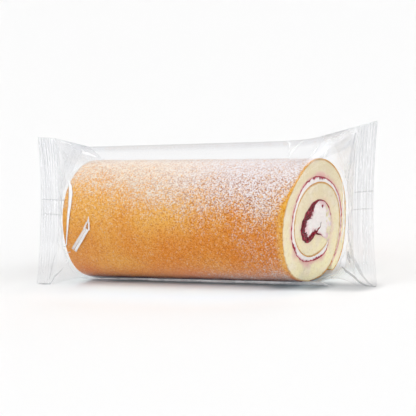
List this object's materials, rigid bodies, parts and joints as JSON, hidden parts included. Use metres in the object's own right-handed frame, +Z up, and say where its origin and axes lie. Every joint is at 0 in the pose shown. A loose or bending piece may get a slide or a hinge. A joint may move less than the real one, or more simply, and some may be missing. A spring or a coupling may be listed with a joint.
{
  "type": "wrapped raspberry vanilla swiss roll",
  "caption": "Swiss roll lying on its side, sealed in a clear film bag with a flat crimped seal past each end and a low film tent over its top.",
  "frame": {"origin": "bottom centre of the sealed pack's box, on the surface that it lies on", "axes": "+X along the roll towards the shown cut end, front at -Y, +Z up"},
  "size_m": [0.2746, 0.0823, 0.1034],
  "materials": {
    "film": "clear glossy film, softly wrinkled",
    "crust": "thin golden brown baked skin with fine pores",
    "sponge": "pale yellow open crumb",
    "jam": "dark red glossy raspberry jam",
    "cream": "soft white vanilla cream",
    "sugar": "fine white icing sugar"
  },
  "bodies": {
    "root": {"sealed_pack": "film"}
  },
  "joints": []
}
